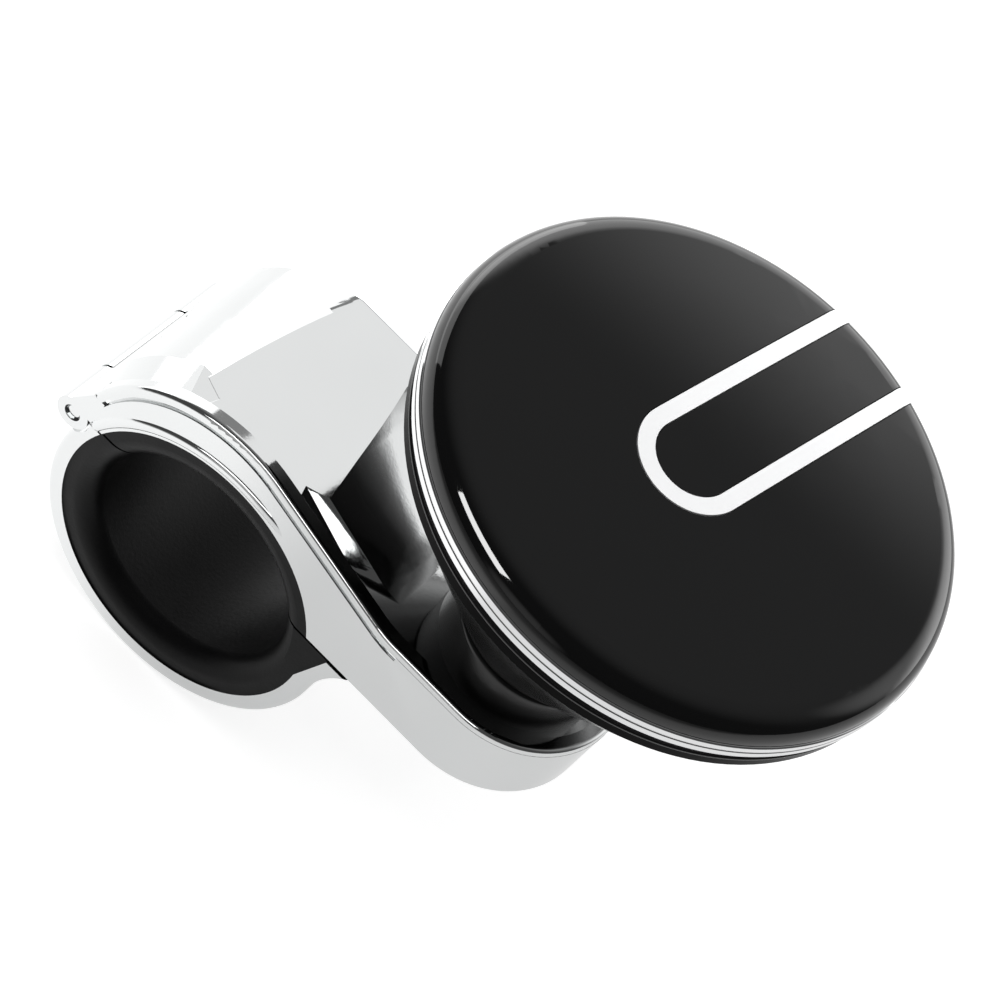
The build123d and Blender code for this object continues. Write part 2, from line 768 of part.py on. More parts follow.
def inlay_shape(margin):
    """The outline of the U, grown by a margin on every side."""
    half = inlay_half_width + margin
    strip = inlay_strip_width + 2 * margin
    with BuildSketch(Plane((knob_x, 0, cap_shoulder - inlay_depth), x_dir=inlay_direction)) as shape:
        with Locations((inlay_centre_shift, inlay_side_shift)):
            Circle(half)
            Rectangle(reach, 2 * half, align=(Align.MIN, Align.CENTER))
            Circle(half - strip, mode=Mode.SUBTRACT)
            Rectangle(reach, 2 * (half - strip), align=(Align.MIN, Align.CENTER), mode=Mode.SUBTRACT)
    return shape.sketch


with BuildPart() as knob_cap:
    add(dome(0).part)
    with BuildSketch(level(cap_foot)):
        Circle(lip_radius)
    extrude(amount=cap_lip_depth)
    with BuildSketch(level(cap_foot)):
        Circle(lip_radius - cap_lip_wall)
    extrude(amount=cap_ceiling - cap_foot, mode=Mode.SUBTRACT)
    with BuildSketch(level(boss_foot)):
        with PolarLocations(cap_screw_circle, cap_screw_count, start_angle=90):
            Circle(cap_boss_radius)
            Circle(cap_screw_radius, mode=Mode.SUBTRACT)
    extrude(amount=cap_ceiling - boss_foot)
    add(inlay_shape(inlay_margin))
    extrude(amount=inlay_depth + cap_dome_rise + cap_edge_round, mode=Mode.SUBTRACT)
finish(knob_cap, "knob_cap")

with BuildPart() as u_inlay:
    add(dome(inlay_proud).part)
    add(inlay_shape(0))
    extrude(amount=inlay_depth + cap_dome_rise + cap_edge_round, mode=Mode.INTERSECT)
finish(u_inlay, "u_inlay")

# Screws that hold the cap, each with a slotted head
with BuildPart() as cap_screws:
    with BuildSketch(level(cap_screw_seat - cap_screw_head_height)):
        with PolarLocations(cap_screw_circle, cap_screw_count, start_angle=90):
            Circle(cap_screw_head_radius)
    extrude(amount=cap_screw_head_height)
    with BuildSketch(level(cap_screw_seat)):
        with PolarLocations(cap_screw_circle, cap_screw_count, start_angle=90):
            Circle(cap_screw_radius)
    extrude(amount=tower_top - cap_screw_seat + assembly_gap + cap_screw_grip)
    with BuildSketch(level(cap_screw_seat - cap_screw_head_height)):
        with PolarLocations(cap_screw_circle, cap_screw_count, start_angle=90):
            Rectangle(cap_screw_head_radius * 2, cap_screw_slot_width)
    extrude(amount=cap_screw_slot_depth, mode=Mode.SUBTRACT)
finish(cap_screws, "cap_screws")
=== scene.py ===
# %% [markdown]
# # Steering wheel spinner knob
# A spinner knob is a ball-bearing knob on a small clamp that grips the rim of a steering wheel. The clamp is a
# chromed die casting with a rubber lining, and the knob is a black moulding with a chrome band and a chrome inlay.
# The script takes the measured parts as a fixed frame and gives each one its finish, its light and its camera.

# %% Load the frame
import json
import math

import bmesh
import bpy
from mathutils import Matrix, Vector


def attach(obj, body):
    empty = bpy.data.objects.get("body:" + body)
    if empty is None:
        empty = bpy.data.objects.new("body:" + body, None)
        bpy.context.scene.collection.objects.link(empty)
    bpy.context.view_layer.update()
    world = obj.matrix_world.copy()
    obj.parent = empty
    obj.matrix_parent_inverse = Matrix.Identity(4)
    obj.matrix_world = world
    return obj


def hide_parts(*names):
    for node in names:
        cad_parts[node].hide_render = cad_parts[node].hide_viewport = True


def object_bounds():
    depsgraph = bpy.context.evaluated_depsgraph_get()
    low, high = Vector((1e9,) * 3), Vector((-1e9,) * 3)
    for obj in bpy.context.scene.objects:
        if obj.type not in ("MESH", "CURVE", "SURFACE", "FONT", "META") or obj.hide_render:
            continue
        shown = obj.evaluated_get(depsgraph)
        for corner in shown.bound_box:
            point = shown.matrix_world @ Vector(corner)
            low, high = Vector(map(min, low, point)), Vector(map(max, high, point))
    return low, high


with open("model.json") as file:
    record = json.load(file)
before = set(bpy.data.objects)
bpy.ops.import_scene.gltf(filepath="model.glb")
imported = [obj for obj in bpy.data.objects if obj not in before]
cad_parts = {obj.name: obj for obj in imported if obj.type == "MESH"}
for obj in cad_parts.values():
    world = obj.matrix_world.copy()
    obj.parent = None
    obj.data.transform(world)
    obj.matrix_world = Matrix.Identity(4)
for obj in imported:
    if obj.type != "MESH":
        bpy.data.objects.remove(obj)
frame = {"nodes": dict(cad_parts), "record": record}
cad_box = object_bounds()
nodes = frame["nodes"]
scene = bpy.context.scene
MM = 0.001
KNOB_X = 30.5
SHARP_TURN = math.radians(20)
print("nodes in the frame:", len(nodes), "with the knob's axis at x", KNOB_X, "mm")

# %% [markdown]
# ## Camera
# The photograph was taken from above and in front of the clamp's open end, with a long lens, and the picture is
# turned so that the knob leans to the right. The camera is built from its three axes: to the right, upwards and
# backwards. That is exact, where a Track To constraint would lose the turn of the picture.

# %% Camera
CAMERA_PLACE = Vector((31.53, -180.55, 242.9)) * MM
CAMERA_RIGHT = Vector((0.70600, 0.56127, 0.43190))
CAMERA_UP = Vector((-0.70678, 0.51965, 0.48003))
FOCAL_PIXELS = 2885
PICTURE_PIXELS = 1000
SENSOR = 36.0

camera = bpy.data.objects.new("camera", bpy.data.cameras.new("camera"))
scene.collection.objects.link(camera)
camera.data.sensor_width = SENSOR
camera.data.lens = FOCAL_PIXELS * SENSOR / PICTURE_PIXELS
camera.data.clip_start = 0.01
back = CAMERA_RIGHT.cross(CAMERA_UP).normalized()
up = back.cross(CAMERA_RIGHT).normalized()
right = up.cross(back).normalized()
turn = Matrix((right, up, back)).transposed().to_4x4()
camera.matrix_world = Matrix.Translation(CAMERA_PLACE) @ turn
scene.camera = camera
scene.view_settings.view_transform = "Standard"
print("lens", round(camera.data.lens, 2), "mm, looking along", [round(v, 3) for v in -back])


# %% [markdown]
# ## Small helpers for shader nodes
# Every finish is a node tree. A few short helpers add a node, a material, a group or a Math node, so that each
# material below reads like a list of what the finish is made of.

# %% Node helpers
def add_node(tree, kind, **values):
    """Adds a shader node, and sets its inputs or its own settings by name."""
    node = tree.nodes.new(kind)
    for name, value in values.items():
        key = name.replace("_", " ").title()
        if name in node.inputs:
            node.inputs[name].default_value = value
        elif key in node.inputs:
            node.inputs[key].default_value = value
        else:
            setattr(node, name, value)
    return node


def new_material(name):
    """A new material with an empty Principled surface, returned with its tree and its shader."""
    material = bpy.data.materials.new(name)
    material.use_nodes = True
    tree = material.node_tree
    tree.nodes.clear()
    output = tree.nodes.new("ShaderNodeOutputMaterial")
    shader = tree.nodes.new("ShaderNodeBsdfPrincipled")
    tree.links.new(shader.outputs["BSDF"], output.inputs["Surface"])
    return material, tree, shader


def new_group(name, inputs, outputs):
    """A shader node group with the named number or colour sockets."""
    group = bpy.data.node_groups.new(name, "ShaderNodeTree")
    for label, kind, value in inputs:
        socket = group.interface.new_socket(label, in_out="INPUT", socket_type=kind)
        socket.default_value = value
    for label, kind in outputs:
        group.interface.new_socket(label, in_out="OUTPUT", socket_type=kind)
    start = group.nodes.new("NodeGroupInput")
    end = group.nodes.new("NodeGroupOutput")
    return group, start, end


def place_group(tree, group, **values):
    """Puts a group into a material, with its own values."""
    node = tree.nodes.new("ShaderNodeGroup")
    node.node_tree = group
    for name, value in values.items():
        node.inputs[name.replace("_", " ")].default_value = value
    return node


def combined(tree, operation, *terms):
    """A Math node over two terms, each a number or another node's output, given as its own output."""
    node = add_node(tree, "ShaderNodeMath", operation=operation)
    for socket, term in zip(node.inputs, terms):
        if isinstance(term, bpy.types.NodeSocket):
            tree.links.new(term, socket)
        else:
            socket.default_value = term
    return node.outputs[0]


print("node helpers ready")

# %% [markdown]
# ## Surface waviness
# Plated and moulded surfaces are never dead flat: a die casting has a faint orange-peel ripple under its chrome, and
# a moulding sinks a little over its ribs. One group makes a slow ripple and a fine grain from Object coordinates, and
# gives a height for a Bump node together with a mask that varies the roughness.

# %% Group: surface ripple
FLOAT = "NodeSocketFloat"
COLOR = "NodeSocketColor"
ripple, ripple_in, ripple_out = new_group(
    "surface_ripple",
    [("Ripple Scale", FLOAT, 120.0), ("Grain Scale", FLOAT, 2500.0), ("Grain Share", FLOAT, 0.1)],
    [("Height", FLOAT), ("Mask", FLOAT)],
)
links = ripple.links
place = ripple.nodes.new("ShaderNodeTexCoord")
slow = add_node(ripple, "ShaderNodeTexNoise", detail=2.0, roughness=0.4)
fine = add_node(ripple, "ShaderNodeTexNoise", detail=3.0, roughness=0.6)
mix = add_node(ripple, "ShaderNodeMix", data_type="FLOAT")
links.new(place.outputs["Object"], slow.inputs["Vector"])
links.new(place.outputs["Object"], fine.inputs["Vector"])
links.new(ripple_in.outputs["Ripple Scale"], slow.inputs["Scale"])
links.new(ripple_in.outputs["Grain Scale"], fine.inputs["Scale"])
links.new(ripple_in.outputs["Grain Share"], mix.inputs["Factor"])
links.new(slow.outputs["Fac"], mix.inputs["A"])
links.new(fine.outputs["Fac"], mix.inputs["B"])
links.new(mix.outputs["Result"], ripple_out.inputs["Height"])
links.new(slow.outputs["Fac"], ripple_out.inputs["Mask"])
print("group", ripple.name)


# %% [markdown]
# ## Finishes
# Chrome is a metal with a high, slightly cool reflection. Black moulded plastic has almost no colour of its own, so
# what the eye sees on it is the room. Rubber scatters light and shows only a broad sheen. Each measured part takes
# the finish of its slot, but for the inlay, which is satin in the photograph, and the hinge pin, which is plated.

# %% Materials
def finish_material(name, color, color_2, roughness, roughness_2, metallic=0.0, bump=0.02, scale=120.0,
                    grain=2500.0, share=0.1, level=0.5):
    """A finish whose colour and roughness drift between two values, with a faint ripple."""
    material, tree, shader = new_material(name)
    group = place_group(tree, ripple, Ripple_Scale=scale, Grain_Scale=grain, Grain_Share=share)
    shader.inputs["Metallic"].default_value = metallic
    shader.inputs["Specular IOR Level"].default_value = level
    hue = add_node(tree, "ShaderNodeMix", data_type="RGBA")
    hue.inputs["A"].default_value = (*color, 1.0)
    hue.inputs["B"].default_value = (*color_2, 1.0)
    tree.links.new(group.outputs["Mask"], hue.inputs["Factor"])
    tree.links.new(hue.outputs["Result"], shader.inputs["Base Color"])
    rough = add_node(tree, "ShaderNodeMapRange")
    rough.inputs["To Min"].default_value = roughness
    rough.inputs["To Max"].default_value = roughness_2
    tree.links.new(group.outputs["Mask"], rough.inputs["Value"])
    tree.links.new(rough.outputs["Result"], shader.inputs["Roughness"])
    relief = add_node(tree, "ShaderNodeBump", Strength=1.0, Distance=bump * MM)
    tree.links.new(group.outputs["Height"], relief.inputs["Height"])
    tree.links.new(relief.outputs["Normal"], shader.inputs["Normal"])
    return material


materials = {
    "chrome_casting": finish_material("chrome_casting", (0.66, 0.67, 0.67), (0.70, 0.71, 0.71), 0.04, 0.09,
                                      metallic=1.0, bump=0.02, scale=90.0),
    "chrome_trim": finish_material("chrome_trim", (0.74, 0.745, 0.75), (0.78, 0.785, 0.79), 0.04, 0.07,
                                   metallic=1.0, bump=0.005, scale=150.0),
    "liner_rubber": finish_material("liner_rubber", (0.004, 0.004, 0.0042), (0.006, 0.006, 0.0062), 0.38, 0.5,
                                    bump=0.03, scale=300.0, share=0.6, level=0.13),
    "cap_black": finish_material("cap_black", (0.0016, 0.0017, 0.0018), (0.0022, 0.0022, 0.0023), 0.03, 0.06,
                                 bump=0.002, scale=60.0, share=0.05),
    "skirt_black": finish_material("skirt_black", (0.002, 0.002, 0.002), (0.003, 0.003, 0.003), 0.12, 0.18,
                                   bump=0.002, scale=60.0, share=0.05, level=0.03),
    "inlay_satin": finish_material("inlay_satin", (0.86, 0.865, 0.87), (0.90, 0.905, 0.91), 0.35, 0.45,
                                   metallic=0.35, bump=0.004, scale=200.0, share=0.4),
    "collar_black": finish_material("collar_black", (0.008, 0.008, 0.008), (0.012, 0.012, 0.012), 0.2, 0.3,
                                    bump=0.02, scale=200.0, share=0.3, level=0.4),
    "bush_plastic": finish_material("bush_plastic", (0.75, 0.74, 0.70), (0.80, 0.79, 0.75), 0.4, 0.5, bump=0.02),
    "screw_steel": finish_material("screw_steel", (0.42, 0.42, 0.43), (0.5, 0.5, 0.5), 0.25, 0.4, metallic=1.0,
                                   bump=0.02, share=0.4),
    "turned_steel": finish_material("turned_steel", (0.46, 0.46, 0.47), (0.54, 0.54, 0.54), 0.2, 0.3, metallic=1.0,
                                    bump=0.01),
    "spring_steel": finish_material("spring_steel", (0.10, 0.10, 0.115), (0.15, 0.15, 0.16), 0.3, 0.4,
                                    metallic=1.0, bump=0.02),
    "bearing_steel": finish_material("bearing_steel", (0.58, 0.58, 0.59), (0.62, 0.62, 0.63), 0.1, 0.2,
                                     metallic=1.0, bump=0.005),
    "cage_steel": finish_material("cage_steel", (0.48, 0.47, 0.44), (0.54, 0.53, 0.5), 0.25, 0.35, metallic=1.0,
                                  bump=0.02),
}
SEEN_FINISH = {"u_inlay": "inlay_satin", "hinge_pin": "chrome_casting"}
slots = {part["node"]: part["material_slot"] for part in frame["record"]["subparts"]}
for name, node in nodes.items():
    node.data.materials.clear()
    node.data.materials.append(materials[SEEN_FINISH.get(name, slots[name])])
print("materials:", len(materials))

# %% [markdown]
# ## Clamp casting
# The casting is a copy of the measured body whose meshed corners are merged, so that its curved faces shade as one.
# Its edges carry a bevel weight. A bevel stops where it would meet the next edge, and this mesh has so many short
# edges that the rounding stays very small. The weighted normals matter more: they keep the big faces flat, and on
# chrome a face that is not flat shows at once.


# %% Clamp casting
def new_piece(name, mesh, body, slot):
    """A piece of the visual model that rides on a body and takes its finish from a slot."""
    piece = bpy.data.objects.new(name, mesh)
    scene.collection.objects.link(piece)
    mesh.materials.clear()
    mesh.materials.append(materials[slot])
    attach(piece, body)
    return piece


GROOVE_START_X = 22.8
GROOVE_LOW_Z = 14.3
GROOVE_HIGH_Z = 15.0
GROOVE_DEPTH_RADIUS = 11.5


def in_arm_groove(place):
    """Whether a place lies in the fine groove along the arm, which a strip closes further down."""
    outwards = math.hypot(max(place.x - KNOB_X, 0), place.y)
    return place.x > GROOVE_START_X and GROOVE_LOW_Z < place.z < GROOVE_HIGH_Z and outwards > GROOVE_DEPTH_RADIUS


def softened_copy(name, node_name, body, slot, width):
    """A copy of a measured part with a narrow bevel along its edges."""
    work = bmesh.new()
    work.from_mesh(nodes[node_name].data)
    bmesh.ops.remove_doubles(work, verts=work.verts, dist=0.002 * MM)
    bmesh.ops.dissolve_limit(work, angle_limit=math.radians(0.6), verts=work.verts, edges=work.edges)
    weights = work.edges.layers.float.new("bevel_weight_edge")
    for edge in work.edges:
        if edge.calc_face_angle(0.0) > SHARP_TURN:
            middle = (edge.verts[0].co + edge.verts[1].co) / 2
            if in_arm_groove(middle / MM):
                edge.smooth = False
            else:
                edge[weights] = 1.0
    mesh = bpy.data.meshes.new(name)
    work.to_mesh(mesh)
    work.free()
    mesh.shade_smooth()
    piece = new_piece(name, mesh, body, slot)
    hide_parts(node_name)
    bevel = piece.modifiers.new("edge rounding", "BEVEL")
    bevel.width = width * MM
    bevel.segments = 3
    bevel.limit_method = "WEIGHT"
    flat = piece.modifiers.new("flat faces stay flat", "WEIGHTED_NORMAL")
    flat.mode = "FACE_AREA"
    flat.weight = 90
    flat.keep_sharp = True
    return piece


casting = softened_copy("clamp_casting", "clamp_body", "clamp", "chrome_casting", 0.35)
print("clamp casting:", len(casting.data.polygons), "faces before its bevel")

# %% [markdown]
# ## Cap and balls
# Where a crowned surface or a ball meets its own axis, the mesher can leave a triangle with two corners in one place.
# Such a face has no area and only makes trouble later. Merging the corners of a copy removes it and closes the seams.
# The measured surface's own normals are carried over, because on a glossy dome they shade better than averaged ones.


# %% Cap and balls
def clean_copy(name, node_name, body, slot):
    """A merged copy of a measured part, which drops the faces without area and keeps the part's own normals."""
    mesh = nodes[node_name].data.copy()
    mesh.name = name
    kept = mesh.attributes.new("kept_normal", "FLOAT_VECTOR", "CORNER")
    kept.data.foreach_set("vector", [value for corner in mesh.corner_normals for value in corner.vector])
    work = bmesh.new()
    work.from_mesh(mesh)
    bmesh.ops.remove_doubles(work, verts=work.verts, dist=0.001 * MM)
    work.to_mesh(mesh)
    work.free()
    kept = mesh.attributes["kept_normal"]
    normals = [corner.vector.copy() for corner in kept.data]
    mesh.attributes.remove(kept)
    mesh.normals_split_custom_set(normals)
    piece = new_piece(name, mesh, body, slot)
    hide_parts(node_name)
    print(name, "loses", len(nodes[node_name].data.polygons) - len(mesh.polygons), "faces")
    return piece


cap = clean_copy("cap_moulding", "knob_cap", "knob", slots["knob_cap"])
clean_copy("ball_set", "bearing_balls", "cage", slots["bearing_balls"])

# %% [markdown]
# ## Rolled bead round the bore
# The front face of the casting has a low rounded bead that follows the rubber. It is a small circle spun about the
# bore's axis, with both ends closed. Towards the arm it sinks into the wall, so that it fades out instead of ending.


# %% Rolled bead round the bore
def spun_ring(work, center, axis, angle, steps):
    """Spins all edges of a profile about an axis, and closes the ends of a part turn."""
    whole = math.isclose(abs(angle), math.tau)
    profile = list(work.edges)
    made = bmesh.ops.spin(work, geom=list(work.verts) + profile, cent=Vector(center) * MM, axis=axis, angle=angle,
                          steps=steps, use_merge=whole, use_duplicate=False)
    if not whole:
        last = [part for part in made["geom_last"] if isinstance(part, bmesh.types.BMEdge)]
        bmesh.ops.holes_fill(work, edges=profile + last, sides=0)
    bmesh.ops.recalc_face_normals(work, faces=work.faces)


def finished_mesh(name, work):
    """Turns a bmesh into a smooth mesh."""
    mesh = bpy.data.meshes.new(name)
    work.to_mesh(mesh)
    work.free()
    mesh.shade_smooth()
    return mesh


BORE_BEAD_RADIUS = 16.95
BORE_BEAD_ROUND = 0.75
BORE_BEAD_Y = -11.7
BORE_BEAD_START = 50
BORE_BEAD_END = 157.5
BORE_BEAD_SINKS_FROM = 85
BORE_BEAD_SINKS_OVER = 30
BORE_BEAD_SINKS_BY = 0.6
work = bmesh.new()
bmesh.ops.create_circle(work, segments=20, radius=BORE_BEAD_ROUND * MM)
bmesh.ops.translate(work, verts=work.verts, vec=Vector((BORE_BEAD_RADIUS, BORE_BEAD_Y, 0)) * MM)
bmesh.ops.rotate(work, verts=work.verts, matrix=Matrix.Rotation(-math.radians(BORE_BEAD_START), 3, "Y"))
spun_ring(work, (0, 0, 0), (0, -1, 0), math.radians(BORE_BEAD_END - BORE_BEAD_START), 90)
for vert in work.verts:
    at = math.degrees(math.atan2(vert.co.z, vert.co.x))
    sunk = min(max((BORE_BEAD_SINKS_FROM - at) / BORE_BEAD_SINKS_OVER, 0), 1)
    vert.co.y += BORE_BEAD_SINKS_BY * MM * sunk * sunk * (3 - 2 * sunk)
bore_bead = new_piece("bore_bead", finished_mesh("bore_bead", work), "clamp", "chrome_casting")
print("bore bead:", len(bore_bead.data.polygons), "faces")

# %% [markdown]
# ## Left side of the saddle
# Between the lip and the flat facet the casting runs smooth on its left side, down to the hinge. A ring section is
# spun about the saddle's centre, and what stands above the facet is cut away along the facet's own plane. Two more
# helpers serve the pieces below: one draws a closed outline through points, and one rounds a piece's sharp edges.


# %% Left side of the saddle
def closed_outline(work, points):
    """A closed loop of edges through points in millimetres."""
    corners = [work.verts.new(Vector(point) * MM) for point in points]
    return [work.edges.new((corners[index], corners[(index + 1) % len(corners)])) for index in range(len(corners))]


def edges_of(parts):
    """The edges among the parts that a mesh operator returns."""
    return [part for part in parts if isinstance(part, bmesh.types.BMEdge)]


def round_edges(piece, width, segments):
    """Rounds the sharp edges of a piece with a bevel of a width in millimetres."""
    rounding = piece.modifiers.new("edge rounding", "BEVEL")
    rounding.width = width * MM
    rounding.segments = segments
    rounding.limit_method = "ANGLE"
    rounding.angle_limit = SHARP_TURN
    rounding.harden_normals = True


SADDLE_CENTER = (-1.6, 0, 5.0)
SADDLE_START = 100
SADDLE_END = 166
SADDLE_SECTION = ((-10.6, 15.2), (-10.6, 16.35), (-6.9, 17.5), (-6.9, 15.2))
FACET_POINT = (0, -12.1, 18.97)
FACET_NORMAL = (0, -3.3, 24.2)
work = bmesh.new()
closed_outline(work, [(SADDLE_CENTER[0] + radius, y, SADDLE_CENTER[2]) for y, radius in SADDLE_SECTION])
bmesh.ops.rotate(work, verts=work.verts, cent=Vector(SADDLE_CENTER) * MM,
                 matrix=Matrix.Rotation(-math.radians(SADDLE_START), 3, "Y"))
spun_ring(work, SADDLE_CENTER, (0, -1, 0), math.radians(SADDLE_END - SADDLE_START), SADDLE_END - SADDLE_START)
cut = bmesh.ops.bisect_plane(work, geom=list(work.verts) + list(work.edges) + list(work.faces), clear_outer=True,
                             plane_co=Vector(FACET_POINT) * MM, plane_no=Vector(FACET_NORMAL).normalized())
bmesh.ops.holes_fill(work, edges=edges_of(cut["geom_cut"]), sides=0)
bmesh.ops.recalc_face_normals(work, faces=work.faces)
saddle_side = new_piece("saddle_side", finished_mesh("saddle_side", work), "clamp", "chrome_casting")
round_edges(saddle_side, 0.25, 3)
print("saddle side:", len(saddle_side.data.polygons), "faces")

# %% [markdown]
# ## Arm wall
# The parting groove under the lip is polished away along the arm and round its end. A flat strip, spun half round the
# knob's axis and drawn out along both sides, closes it there and stands proud by two hundredths of a millimetre.

# %% Arm wall
def drawn_out(work, edges, length):
    """Draws a profile out along X and returns its far edges."""
    made = bmesh.ops.extrude_edge_only(work, edges=edges)["geom"]
    bmesh.ops.translate(work, verts=[part for part in made if isinstance(part, bmesh.types.BMVert)],
                        vec=(length * MM, 0, 0))
    return [edge for edge in edges_of(made) if edge.is_boundary]


STRIP_START_X = 22.6
STRIP_INSIDE = 11.4
STRIP_OUTSIDE = 12.12
STRIP_LOW_Z = 14.25
STRIP_HIGH_Z = 15.05
work = bmesh.new()
profile = closed_outline(work, ((STRIP_START_X, -STRIP_INSIDE, STRIP_LOW_Z),
                                (STRIP_START_X, -STRIP_OUTSIDE, STRIP_LOW_Z),
                                (STRIP_START_X, -STRIP_OUTSIDE, STRIP_HIGH_Z),
                                (STRIP_START_X, -STRIP_INSIDE, STRIP_HIGH_Z)))
near = drawn_out(work, profile, KNOB_X - STRIP_START_X)
turned = bmesh.ops.spin(work, geom=list({vert for edge in near for vert in edge.verts}) + near,
                        cent=Vector((KNOB_X, 0, 0)) * MM, axis=(0, 0, 1), angle=math.pi, steps=64,
                        use_merge=False, use_duplicate=False)
last = drawn_out(work, edges_of(turned["geom_last"]), STRIP_START_X - KNOB_X)
bmesh.ops.holes_fill(work, edges=profile + last, sides=0)
bmesh.ops.remove_doubles(work, verts=work.verts, dist=0.001 * MM)
bmesh.ops.recalc_face_normals(work, faces=work.faces)
arm_wall = new_piece("arm_wall", finished_mesh("arm_wall", work), "clamp", "chrome_casting")
arm_wall.data.set_sharp_from_angle(angle=math.radians(30))
print("arm wall:", len(arm_wall.data.polygons), "faces")

# %% [markdown]
# ## Chrome band
# The band is a turned ring with a fine groove round its middle. Its outline is a few points spun about the knob's
# axis in many steps, so that the long highlight runs without a break, and a narrow bevel takes off the corners.

# %% Chrome band
RIM_STEPS = 240
BAND_SECTION = ((25.95, 49.2), (27.38, 49.2), (27.5, 49.32), (27.5, 49.98), (27.4, 50.05), (27.4, 50.15),
                (27.5, 50.22), (27.5, 50.85), (27.35, 51.0), (25.95, 51.0))
work = bmesh.new()
closed_outline(work, [(KNOB_X + radius, 0, height) for radius, height in BAND_SECTION])
spun_ring(work, (KNOB_X, 0, 0), (0, 0, 1), math.tau, RIM_STEPS)
band = new_piece("band_ring", finished_mesh("band_ring", work), "knob", "chrome_trim")
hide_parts("chrome_band")
round_edges(band, 0.04, 2)
print("band ring:", len(band.data.polygons), "faces")

# %% [markdown]
# ## Bead under the band
# The black skirt ends in a thin polished bead just under the band, which catches one fine line of light. It is a
# small circle spun once round the knob.

# %% Bead under the band
RIM_BEAD_RADIUS = 27.12
RIM_BEAD_ROUND = 0.22
RIM_BEAD_Z = 48.3
work = bmesh.new()
bmesh.ops.create_circle(work, segments=12, radius=RIM_BEAD_ROUND * MM)
bmesh.ops.rotate(work, verts=work.verts, matrix=Matrix.Rotation(math.radians(90), 3, "X"))
bmesh.ops.translate(work, verts=work.verts, vec=Vector((KNOB_X + RIM_BEAD_RADIUS, 0, RIM_BEAD_Z)) * MM)
spun_ring(work, (KNOB_X, 0, 0), (0, 0, 1), math.tau, RIM_STEPS)
rim_bead = new_piece("rim_bead", finished_mesh("rim_bead", work), "knob", "cap_black")
print("rim bead:", len(rim_bead.data.polygons), "faces")

# %% [markdown]
# ## Floor
# The floor is a large pale sheet under the clamp. Its colour is a light grey that carries the soft shadow. Camera
# rays see an even glow on top of it, so that it reads as white paper. Mirror rays see a glow that fades to the right
# and towards the front, as on a sheet lit from behind on the left, and chrome needs that change to look round.


# %% Floor
def faded(tree, source, start, end, first, last):
    """A value that changes smoothly from first to last between two places in millimetres along a coordinate."""
    fade = add_node(tree, "ShaderNodeMapRange", interpolation_type="SMOOTHSTEP")
    for label, value in (("From Min", start * MM), ("From Max", end * MM), ("To Min", first), ("To Max", last)):
        fade.inputs[label].default_value = value
    tree.links.new(source, fade.inputs["Value"])
    return fade.outputs["Result"]


FLOOR_HALF_WIDTH = 1.5
FLOOR_GREY = 0.45
CAMERA_GLOW = 0.75
floor_mesh = bmesh.new()
bmesh.ops.create_grid(floor_mesh, x_segments=1, y_segments=1, size=FLOOR_HALF_WIDTH)
bmesh.ops.translate(floor_mesh, verts=floor_mesh.verts, vec=(0, 0, cad_box[0][2]))
floor_data = bpy.data.meshes.new("floor")
floor_mesh.to_mesh(floor_data)
floor_mesh.free()
floor = bpy.data.objects.new("floor", floor_data)
scene.collection.objects.link(floor)
floor_material, tree, shader = new_material("floor_paper")
shader.inputs["Base Color"].default_value = (FLOOR_GREY, FLOOR_GREY, FLOOR_GREY, 1.0)
shader.inputs["Roughness"].default_value = 0.9
shader.inputs["Specular IOR Level"].default_value = 0.0
ray_kind = tree.nodes.new("ShaderNodeLightPath")
floor_place = tree.nodes.new("ShaderNodeTexCoord")
floor_axes = tree.nodes.new("ShaderNodeSeparateXYZ")
tree.links.new(floor_place.outputs["Object"], floor_axes.inputs[0])
from_left = faded(tree, floor_axes.outputs["X"], -12, 10, 0.9, 0.5)
from_front = faded(tree, floor_axes.outputs["Y"], -260, -110, 0.1, 1.0)
mirror_glow = combined(tree, "MULTIPLY", from_left, from_front)
in_camera = combined(tree, "MULTIPLY", ray_kind.outputs["Is Camera Ray"], CAMERA_GLOW)
in_mirrors = combined(tree, "MULTIPLY", ray_kind.outputs["Is Glossy Ray"], mirror_glow)
shader.inputs["Emission Color"].default_value = (1.0, 1.0, 1.0, 1.0)
tree.links.new(combined(tree, "ADD", in_camera, in_mirrors), shader.inputs["Emission Strength"])
floor_data.materials.append(floor_material)
print("floor at z", round(cad_box[0][2], 4))

# %% [markdown]
# ## Room
# A glossy black cap and chrome show the room more than themselves, so the room is built like a product studio: a
# white backdrop low behind that fades upwards into a dim ceiling, a grey wall to the right, a faint glow on the front
# horizon, and a little light from everywhere. It is a world of soft lobes. One group makes a lobe: it compares the
# ray's direction with the lobe's own and fades between two limits, the cosines where the lobe begins and is full.

# %% World
lobe, lobe_in, lobe_out = new_group(
    "light_lobe",
    [("Direction", "NodeSocketVector", (0.0, 0.0, 1.0)), ("From", FLOAT, 0.0), ("To", FLOAT, 1.0),
     ("Strength", FLOAT, 1.0)],
    [("Light", FLOAT)],
)
links = lobe.links
ray = lobe.nodes.new("ShaderNodeTexCoord")
unit = add_node(lobe, "ShaderNodeVectorMath", operation="NORMALIZE")
dot = add_node(lobe, "ShaderNodeVectorMath", operation="DOT_PRODUCT")
fade = add_node(lobe, "ShaderNodeMapRange", interpolation_type="SMOOTHSTEP")
links.new(ray.outputs["Generated"], unit.inputs[0])
links.new(unit.outputs["Vector"], dot.inputs[0])
links.new(lobe_in.outputs["Direction"], dot.inputs[1])
links.new(dot.outputs["Value"], fade.inputs["Value"])
links.new(lobe_in.outputs["From"], fade.inputs["From Min"])
links.new(lobe_in.outputs["To"], fade.inputs["From Max"])
links.new(lobe_in.outputs["Strength"], fade.inputs["To Max"])
links.new(fade.outputs["Result"], lobe_out.inputs["Light"])


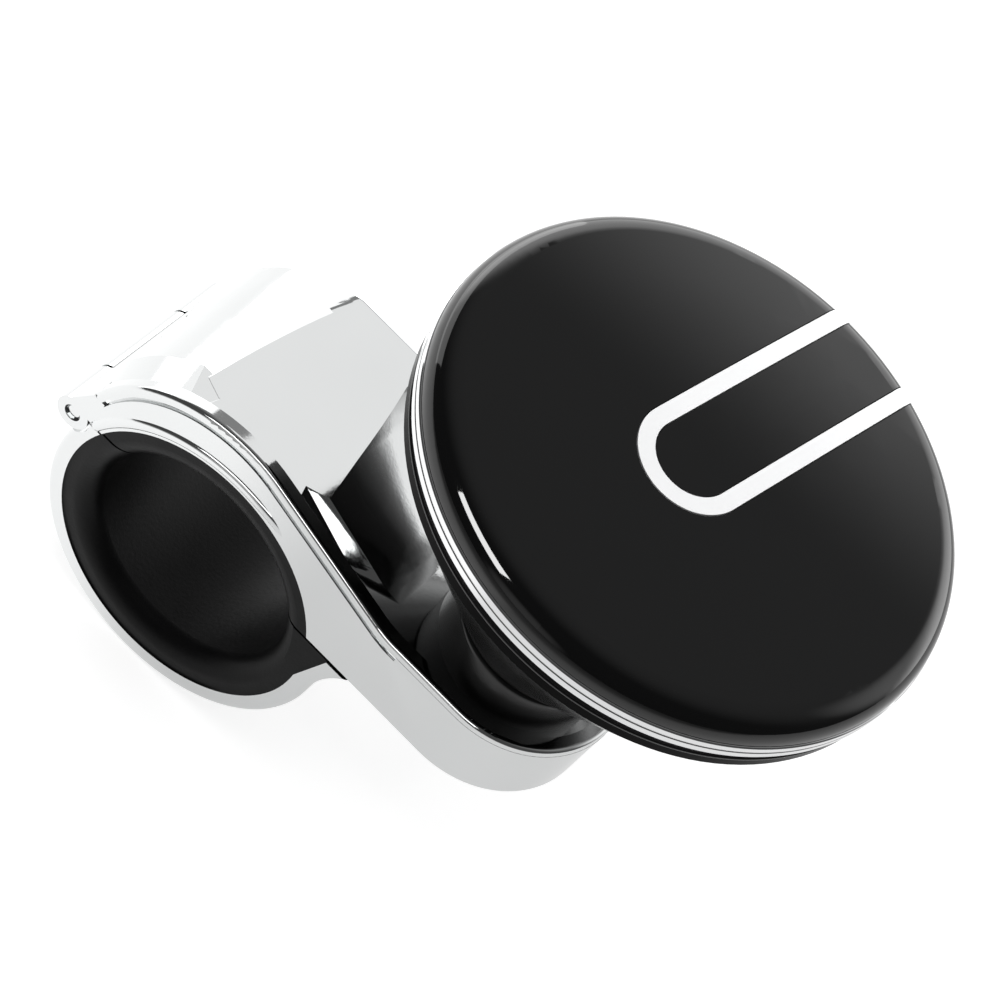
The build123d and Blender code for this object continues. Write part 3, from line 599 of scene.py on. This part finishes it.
def towards(azimuth, elevation):
    """The unit direction at an azimuth from +X towards +Y and an elevation, both in degrees."""
    turn, rise = math.radians(azimuth), math.radians(elevation)
    return (math.cos(rise) * math.cos(turn), math.cos(rise) * math.sin(turn), math.sin(rise))


world = bpy.data.worlds.new("room")
scene.world = world
world.use_nodes = True
tree = world.node_tree
background = tree.nodes["Background"]
AMBIENT = 0.07
lobes = (
    ("backdrop", towards(95, -20), 0.40, 0.62, 2.0),
    ("ceiling_behind", towards(85, 45), 0.2, 0.9, 0.22),
    ("right_wall", towards(48, 20), 0.85, 0.99, 0.9),
    ("front_horizon", towards(262, 3), 0.93, 1.0, 0.5),
)
total = AMBIENT
for name, direction, start, end, strength in lobes:
    light = place_group(tree, lobe, Direction=direction, From=start, To=end, Strength=strength)
    light.label = name
    total = combined(tree, "ADD", total, light.outputs["Light"])
tree.links.new(total, background.inputs["Strength"])
background.inputs["Color"].default_value = (1.0, 1.0, 1.0, 1.0)
print("lobes of light in the room:", len(lobes))

# %% [markdown]
# ## Lamps
# A broad lamp overhead gives the plain working light and stays out of the mirrors. The others are what a product
# photographer puts round chrome: a softbox in front on the left for the streak on the cap, a card above for the flat
# facet, a card on the left for the saddle's side, a wide softbox in front for the edges of the lip and the bead, and
# a pale backdrop on the left. Light linking keeps the first four to the pieces that they are meant for, as flags do
# in a studio, and three of them show only as reflections, so that they add no light to rubber and floor.


# %% Lamps
def area_lamp(name, place, aim, size_x, size_y, radiance):
    """A rectangular lamp at a place in millimetres, aimed at another place, with the brightness that it shows."""
    data = bpy.data.lights.new(name, "AREA")
    data.shape = "RECTANGLE"
    data.size = size_x * MM
    data.size_y = size_y * MM
    data.energy = radiance * math.pi * data.size * data.size_y
    lamp = bpy.data.objects.new(name, data)
    scene.collection.objects.link(lamp)
    lamp.location = Vector(place) * MM
    lamp.rotation_euler = (Vector(aim) - Vector(place)).to_track_quat("-Z", "Y").to_euler()
    lamp.visible_camera = False
    return lamp


def seen_from(origin, azimuth, elevation, distance):
    """A place at a distance from an origin, in a direction."""
    return Vector(origin) + Vector(towards(azimuth, elevation)) * distance


def light_only(lamp, *pieces):
    """Makes a lamp light only the named pieces."""
    group = bpy.data.collections.new(lamp.name + "_pieces")
    for piece in pieces:
        group.objects.link(piece)
    lamp.light_linking.receiver_collection = group


overhead = area_lamp("overhead", (20, -60, 420), (20, 0, 0), 420, 260, 4.0)
overhead.visible_glossy = False
# name, aim, azimuth, elevation, distance, width, height, brightness, lights matt surfaces, only these pieces
lamps = (
    ("key_softbox", (20, 0, 50), 234, 34, 500, 250, 120, 20.0, False, (cap,)),
    ("facet_card", (-2, 2, 21), 107, 65.5, 400, 260, 200, 0.8, True, (casting, saddle_side)),
    ("side_card", (-8, 0, 18), 143, 24, 400, 540, 170, 1.2, False, (casting, saddle_side)),
    ("edge_softbox", (5, -12, 10), 262, 34, 500, 500, 130, 3.0, False, (casting, bore_bead, arm_wall)),
    ("left_backdrop", (-10, 0, 10), 146, 4, 420, 480, 260, 1.5, True, ()),
)
for name, aim, azimuth, elevation, distance, width, height, brightness, diffuse, pieces in lamps:
    lamp = area_lamp(name, seen_from(aim, azimuth, elevation, distance), aim, width, height, brightness)
    lamp.visible_diffuse = diffuse
    if pieces:
        light_only(lamp, *pieces)
print("lamps placed:", 1 + len(lamps))
